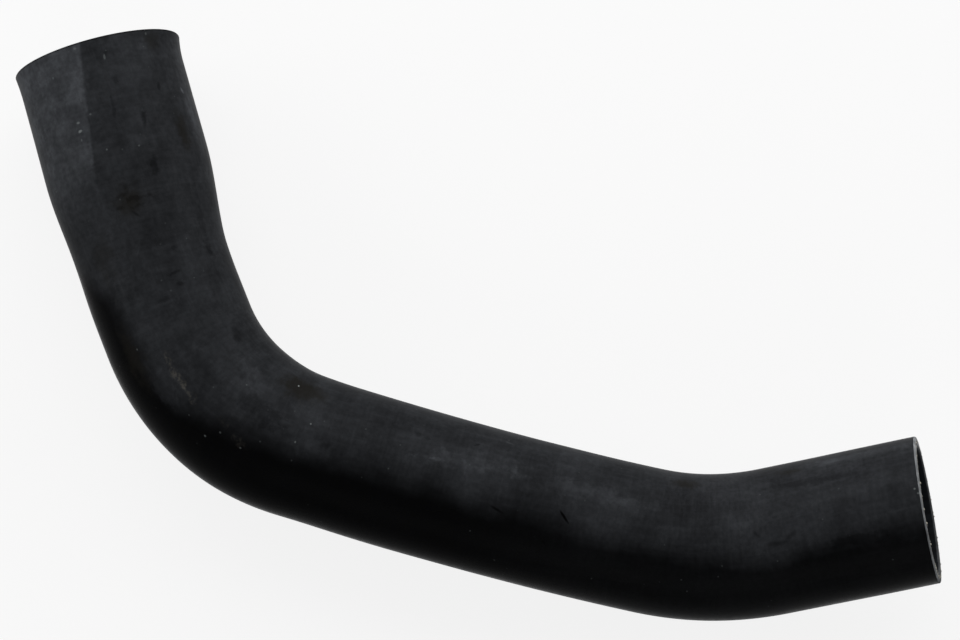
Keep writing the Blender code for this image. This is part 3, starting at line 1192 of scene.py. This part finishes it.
@dataclass
class HoseWall:
    """The whole hose as one closed wall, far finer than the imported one."""

    bench: Bench
    effects: Effects
    sides: int = 144
    ring_pitch: float = 0.0022
    edge_break: float = 0.0007
    edge_rounds: int = 3
    edge_angle: float = 50.0
    unevenness: float = 0.0005
    unevenness_reach: float = 0.07
    name: str = "hose_wall"

    def build(self) -> Piece:
        """Makes, dresses, bends and places the wall.

        Returns:
            The finished object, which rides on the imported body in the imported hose's place.
        """
        wall = self._open_tube()
        self._set_sections(wall)
        self._spread_lip(wall)
        self._lean_outlet(wall)
        self._make_uneven(wall)
        self._thicken(wall)
        self.bench.finish(wall)
        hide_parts(CAD_NODE)
        return wall

    def _open_tube(self) -> Piece:
        """Adds an open tube of the cuff's size and rings it along its whole length.

        Returns:
            The tube, which stands on the origin along +Z.
        """
        length = self.bench.line.length()
        bpy.ops.object.select_all(action="DESELECT")
        bpy.ops.mesh.primitive_cylinder_add(
            vertices=self.sides,
            radius=self.bench.section.cuff_diameter / 2,
            depth=length,
            end_fill_type="NOTHING",
            location=(0.0, 0.0, length / 2),
        )
        tube = bpy.context.object
        tube.name = self.name
        bpy.ops.object.transform_apply(location=True, rotation=False, scale=False)
        bpy.ops.object.mode_set(mode="EDIT")
        pick(tube, "EDGE", lambda edge: abs(edge.verts[0].co.z - edge.verts[1].co.z) > length / 2)
        cuts = round(length / self.ring_pitch) - 1
        bpy.ops.mesh.subdivide_edgering(number_cuts=cuts, interpolation="LINEAR", smoothness=0.0)
        bpy.ops.object.mode_set(mode="OBJECT")
        return tube

    def _rings(self) -> list[float]:
        """How far along the sleeve each ring lies.

        Returns:
            The distances from the cuff's mouth.
        """
        length = self.bench.line.length()
        count = round(length / self.ring_pitch)
        return [length * step / count for step in range(count + 1)]

    def _set_sections(self, tube: Piece) -> None:
        """Draws the tube in past the cuff and again past the main bend, ring by ring.

        Args:
            tube: the open tube.
        """
        line, section = self.bench.line, self.bench.section
        rings = self._rings()
        bpy.ops.object.mode_set(mode="EDIT")
        radius = section.radius(0.0, line)
        for before, along in zip(rings, rings[1:]):
            wanted = section.radius(along, line)
            if abs(wanted - radius) < 1e-7:
                continue
            past = (before + along) / 2
            pick(tube, "VERT", lambda corner: corner.co.z > past)
            share = wanted / radius
            bpy.ops.transform.resize(value=(share, share, 1.0), center_override=ORIGIN)
            radius = wanted
        bpy.ops.object.mode_set(mode="OBJECT")

    def _spread_lip(self, tube: Piece) -> None:
        """Spreads the cuff's lip a little to the sides, as fitting has left it.

        Args:
            tube: the open tube.
        """
        section = self.bench.section
        half = self.ring_pitch / 4
        bpy.ops.object.mode_set(mode="EDIT")
        for along in [ring for ring in self._rings() if ring < section.lip_length]:
            pick(tube, "VERT", lambda corner: abs(corner.co.z - along) < half)
            value = (1.0 + section.lip_share(along), 1.0, 1.0)
            bpy.ops.transform.resize(value=value, center_override=(section.lip_middle, 0.0, along))
        bpy.ops.object.mode_set(mode="OBJECT")

    def _lean_outlet(self, tube: Piece) -> None:
        """Leans the last rings over, so that the outlet's face stands askew.

        Args:
            tube: the open tube.
        """
        section = self.bench.section
        length = self.bench.line.length()
        start = length - section.outlet_lean_length
        half = self.ring_pitch / 4
        bpy.ops.object.mode_set(mode="EDIT")
        for along in [ring for ring in self._rings() if ring > start]:
            share = (along - start) / section.outlet_lean_length
            pick(tube, "VERT", lambda corner: abs(corner.co.z - along) < half)
            for axis, angle in (("Y", section.outlet_skew_angle), ("X", section.outlet_rake_angle)):
                turn = math.radians(angle) * share
                bpy.ops.transform.rotate(value=turn, orient_axis=axis, center_override=(0.0, 0.0, along))
        bpy.ops.object.mode_set(mode="OBJECT")

    def _make_uneven(self, tube: Piece) -> None:
        """Gives the skin the slight waviness of a part cured on a mandrel.

        Args:
            tube: the open tube.
        """
        waves = bpy.data.textures.new("skin_waves", "CLOUDS")
        waves.noise_scale = self.unevenness_reach
        waves.noise_depth = 1
        height = {"strength": self.unevenness, "mid_level": 0.5}
        apply_modifier(tube, "DISPLACE", texture=waves, texture_coords="LOCAL", **height)

    def _thicken(self, tube: Piece) -> None:
        """Gives the tube its wall and finishes, and breaks the edges of its mouths.

        Args:
            tube: the open tube.
        """
        effects = self.effects
        for finish in (RubberSkin(effects, self.bench), BoreLiner(effects), CutRubber(effects)):
            tube.data.materials.append(finish.material())
        wall = {"thickness": self.bench.section.wall, "offset": -1.0, "use_rim": True}
        apply_modifier(tube, "SOLIDIFY", material_offset=1, material_offset_rim=2, **wall)
        limit = {"limit_method": "ANGLE", "angle_limit": math.radians(self.edge_angle)}
        apply_modifier(tube, "BEVEL", width=self.edge_break, segments=self.edge_rounds, **limit)
        self._finish_edges(tube)

    def _finish_edges(self, tube: Piece) -> None:
        """Gives the mouths' broken edges the cut's finish, but the skin's to the cuff's outer one.

        Args:
            tube: the closed wall.
        """
        length = self.bench.line.length()
        skew, rake = self.bench.section.outlet_slopes()
        skin, _, cut = range(len(tube.data.materials))
        outer = self.bench.section.cuff_diameter / 2 - self.edge_break
        for face in tube.data.polygons:
            middle = face.center
            outlet_depth = length + skew * middle.x - rake * middle.y - middle.z
            if outlet_depth < self.edge_break:
                face.material_index = cut
            elif middle.z < self.edge_break:
                face.material_index = skin if math.hypot(middle.x, middle.y) > outer else cut


@dataclass
class ThreadEnds:
    """The cut ends of the reinforcing threads, which stand in a ring in one cut face of the wall."""

    bench: Bench
    effects: Effects
    end: End
    seed: int
    bright_angles: tuple[float, ...] = ()
    count: int = 132
    depth: float = 0.0024
    radius: float = 0.00036
    length: float = 0.0016
    proud: float = 0.00045
    sides: int = 8
    lean: float = 14.0
    scatter: float = 0.0002
    bright_growth: float = 1.35
    bright_stand: float = 0.0002

    def build(self) -> Piece:
        """Makes, dresses, bends and places the ring of thread ends.

        Returns:
            The finished object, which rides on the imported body.
        """
        stub = self._stub()
        draw = random.Random(self.seed)
        ring = [self._copy(stub, 360.0 * step / self.count, draw) for step in range(self.count)]
        bpy.data.objects.remove(stub, do_unlink=True)
        bpy.ops.object.select_all(action="DESELECT")
        for thread in ring:
            thread.select_set(True)
        bpy.context.view_layer.objects.active = ring[0]
        bpy.ops.object.join()
        threads = bpy.context.object
        threads.name = self.end.value + "_threads"
        threads.data.materials.append(PlyThread(self.effects).material())
        self.bench.finish(threads)
        return threads

    def _stub(self) -> Piece:
        """Models one thread's end: a short rod, thinned in its middle, with a frayed round head.

        Returns:
            The modelled end, which points up at the origin.
        """
        bpy.ops.object.select_all(action="DESELECT")
        bpy.ops.mesh.primitive_cylinder_add(vertices=self.sides, radius=self.radius, depth=self.length)
        stub = bpy.context.object
        bpy.ops.object.mode_set(mode="EDIT")
        pick(stub, "FACE", lambda face: face.normal.z > 0.9)
        bpy.ops.mesh.bevel(offset=self.radius * 0.45, segments=2, affect="EDGES")
        pick(stub, "FACE", lambda face: face.normal.z < -0.9)
        bpy.ops.transform.resize(value=(0.6, 0.6, 1.0), center_override=(0.0, 0.0, -self.length / 2))
        bpy.ops.object.mode_set(mode="OBJECT")
        return stub

    def _copy(self, stub: Piece, angle: float, draw: random.Random) -> Piece:
        """Copies the thread's end to its place in the ring, with its own size, lean and tone.

        Args:
            stub: the modelled end, pointing up at the origin.
            angle: where round the ring the copy goes.
            draw: the ring's own random draws.

        Returns:
            The copy, in the straight sleeve's frame.
        """
        thread = stub.copy()
        thread.data = stub.data.copy()
        bpy.context.scene.collection.objects.link(thread)
        line, section = self.bench.line, self.bench.section
        bright = min((abs(angle - place) for place in self.bright_angles), default=360.0) < 180.0 / self.count
        size = draw.uniform(0.75, 1.15) * (self.bright_growth if bright else 1.0)
        proud = self.proud * draw.random() ** 2 + (self.bright_stand if bright else 0.0)
        turned = math.radians(angle + draw.uniform(-0.5, 0.5))
        outward = self.end is End.OUTLET
        reach = self.bench.radius(line.length() if outward else 0.0) - self.depth
        reach += draw.uniform(-self.scatter, self.scatter)
        place = Vector((reach * math.cos(turned), reach * math.sin(turned), proud - self.length / 2))
        skew, rake = section.outlet_slopes()
        if outward:
            place.z += line.length() + skew * place.x - rake * place.y
        else:
            place.x += section.lip_share(0.0) * (place.x - section.lip_middle)
            place.z = -place.z
        leans = [math.radians(draw.uniform(-self.lean, self.lean)) for _ in range(2)]
        flip = 0.0 if outward else math.pi
        pose = Euler((flip + leans[0], leans[1], draw.uniform(0.0, math.tau))).to_matrix().to_4x4()
        thread.data.transform(Matrix.Translation(place) @ pose @ Matrix.Diagonal((size, size, 1.0, 1.0)))
        tone = 1.0 if bright else draw.random() ** 3
        attribute = thread.data.attributes.new(TONE_ATTRIBUTE, "FLOAT", "POINT")
        attribute.data.foreach_set("value", [tone] * len(thread.data.vertices))
        return thread


class Softbox(NamedTuple):
    """A rectangular lamp that looks at the hose, and how bright its face is, where 1 shows as white."""

    name: str
    place: tuple[float, float, float]
    size: tuple[float, float]
    radiance: float


@dataclass
class Studio:
    """Floor, lamps and camera."""

    camera_place: tuple[float, float, float] = (-0.0237, -0.1856, 1.2677)
    camera_turn: tuple[float, float, float] = (8.68, -1.18, -0.20)
    lens: float = 100.0
    floor_width: float = 12.0
    floor_white: float = 0.85
    floor_colour: Colour = (0.9, 0.9, 0.9, 1.0)
    shadow_reach: float = 0.40
    white_from: float = 0.95
    world_strength: float = 0.04
    softboxes: tuple[Softbox, ...] = (
        Softbox("key_softbox", (0.0, 1.4, 1.15), (2.4, 1.6), 2.3),
        Softbox("left_softbox", (-1.5, 0.55, 0.6), (1.5, 1.1), 2.5),
        Softbox("right_softbox", (1.5, 0.55, 0.6), (1.4, 1.1), 2.1),
        Softbox("front_softbox", (0.0, -1.7, 0.75), (1.8, 0.9), 1.6),
    )

    def build(self) -> None:
        """Makes the whole studio."""
        self._floor()
        self._world()
        for softbox in self.softboxes:
            self._lamp(softbox)
        self._camera()
        bpy.context.scene.view_settings.view_transform = "Standard"

    def _seen(self, sheet: Sheet) -> Value:
        """1 for the rays that show the surround itself: straight, mirrored or through glass.

        Args:
            sheet: the nodes of the floor or the surround.

        Returns:
            The mask.
        """
        rays = sheet.node("ShaderNodeLightPath").outputs
        seen = sheet.math("MAXIMUM", rays["Is Camera Ray"], rays["Is Glossy Ray"])
        return sheet.math("MAXIMUM", seen, rays["Is Transmission Ray"])

    def _floor(self) -> None:
        """A wide pale floor that keeps the hose's shadow and shows quite white further out."""
        bpy.ops.object.select_all(action="DESELECT")
        bpy.ops.mesh.primitive_plane_add(size=self.floor_width, location=ORIGIN)
        floor = bpy.context.object
        floor.name = "floor"
        material, sheet, shader = new_material("pale_floor", 0.9, 0.0)
        shader.inputs["Base Color"].default_value = self.floor_colour
        seen = self._seen(sheet)
        white = sheet.node("ShaderNodeEmission", {"Color": (1.0, 1.0, 1.0, 1.0)})
        out = sheet.vector("LENGTH", sheet.node("ShaderNodeTexCoord").outputs["Object"])
        shown = sheet.spread(out, self.shadow_reach, self.white_from, self.floor_white, 1.0)
        share = sheet.times(seen, shown)
        both = sheet.node("ShaderNodeMixShader", {0: share, 1: shader.outputs[0], 2: white.outputs[0]})
        sheet.feed(both.outputs[0], material.node_tree.nodes["Material Output"].inputs["Surface"])
        floor.data.materials.append(material)

    def _world(self) -> None:
        """A dim even surround that the camera sees as white."""
        world = bpy.data.worlds.new("studio")
        bpy.context.scene.world = world
        world.use_nodes = True
        sheet = Sheet(world.node_tree)
        ground = world.node_tree.nodes["Background"]
        seen = self._seen(sheet)
        ground.inputs["Color"].default_value = (1.0, 1.0, 1.0, 1.0)
        sheet.feed(sheet.spread(seen, 0.0, 1.0, self.world_strength, 1.0), ground.inputs["Strength"])

    def _lamp(self, softbox: Softbox) -> None:
        """Adds one softbox.

        Args:
            softbox: what it is called, its place, its width and height, and how bright it is.
        """
        data = bpy.data.lights.new(softbox.name, "AREA")
        data.shape = "RECTANGLE"
        data.size, data.size_y = softbox.size
        data.energy = softbox.radiance * math.pi * softbox.size[0] * softbox.size[1]
        lamp = bpy.data.objects.new(softbox.name, data)
        lamp.location = softbox.place
        lamp.rotation_euler = (-Vector(softbox.place)).to_track_quat("-Z", "Y").to_euler()
        bpy.context.scene.collection.objects.link(lamp)

    def _camera(self) -> None:
        """Adds the camera at the photograph's viewing angle."""
        data = bpy.data.cameras.new("camera")
        data.lens = self.lens
        data.clip_end = 100.0
        camera = bpy.data.objects.new("camera", data)
        camera.location = self.camera_place
        camera.rotation_euler = Euler([math.radians(turn) for turn in self.camera_turn])
        bpy.context.scene.collection.objects.link(camera)
        bpy.context.scene.camera = camera


def main() -> None:
    """Builds the studio and the hose, and reports each piece."""
    logging.basicConfig(level=logging.INFO, format="%(message)s")
    Studio().build()
    effects = Effects()
    bench = Bench(CentreLine(), Section())
    makers = (
        HoseWall(bench, effects),
        ThreadEnds(bench, effects, End.CUFF, seed=11),
        ThreadEnds(bench, effects, End.OUTLET, 12, (14.0, 24.0, 69.0, 91.0, 101.0, 121.0, 135.0, 148.0)),
    )
    for maker in makers:
        piece = maker.build()
        log.info("%s: %d faces", piece.name, len(piece.data.polygons))


if __name__ == "__main__":
    main()
